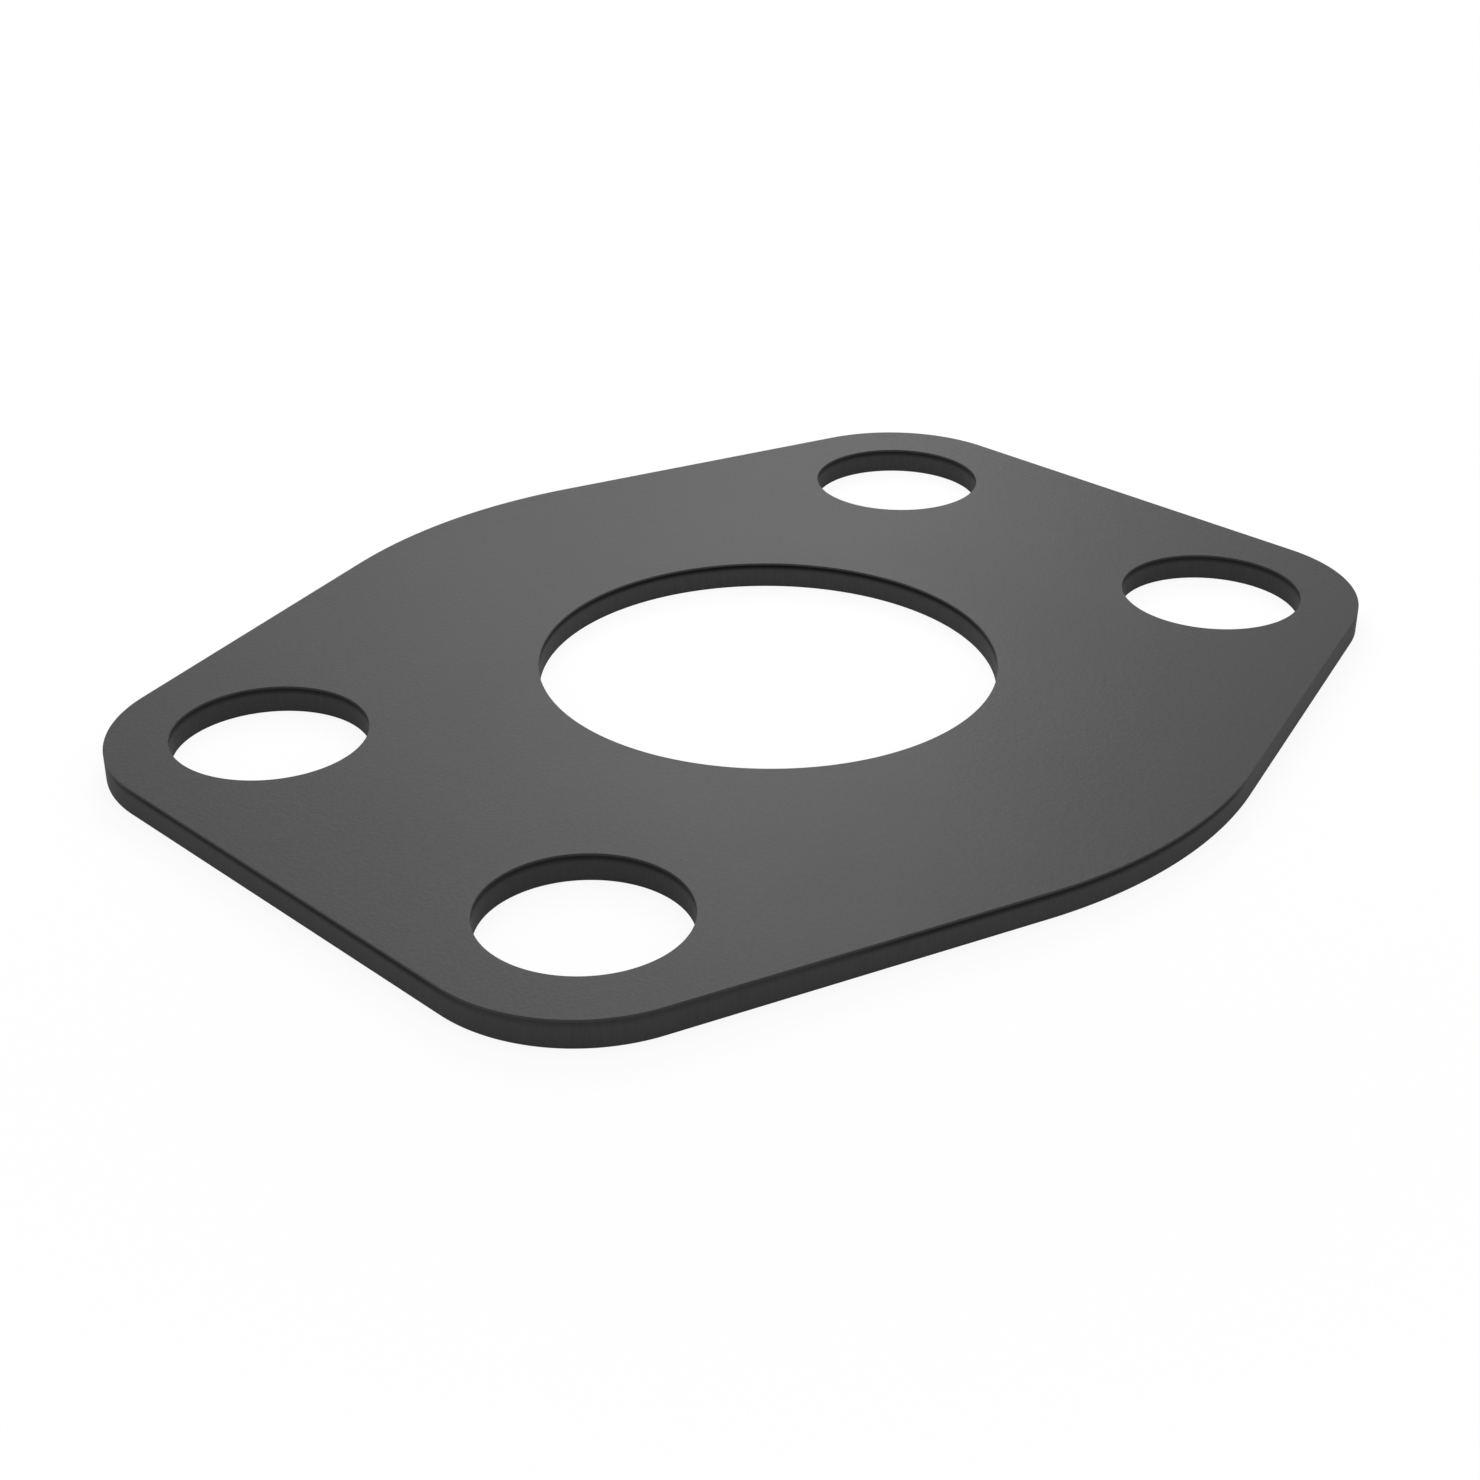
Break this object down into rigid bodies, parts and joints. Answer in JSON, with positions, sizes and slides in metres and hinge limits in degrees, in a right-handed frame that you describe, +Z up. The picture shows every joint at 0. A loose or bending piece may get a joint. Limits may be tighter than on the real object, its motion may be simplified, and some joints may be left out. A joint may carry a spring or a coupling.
{
  "type": "flange gasket",
  "caption": "Flat die-cut rubber gasket that seals a bolted flange: a round port hole, a bolt hole in each rounded corner and bowed long sides.",
  "frame": {"origin": "centre of the port hole on the lower face", "axes": "+X along the length, +Y across the width, +Z up through the port hole and out of the upper face"},
  "size_m": [0.0704, 0.0586, 0.0016],
  "materials": {
    "rubber_sheet": "matte"
  },
  "bodies": {
    "root": {"gasket": "rubber_sheet"}
  },
  "joints": []
}
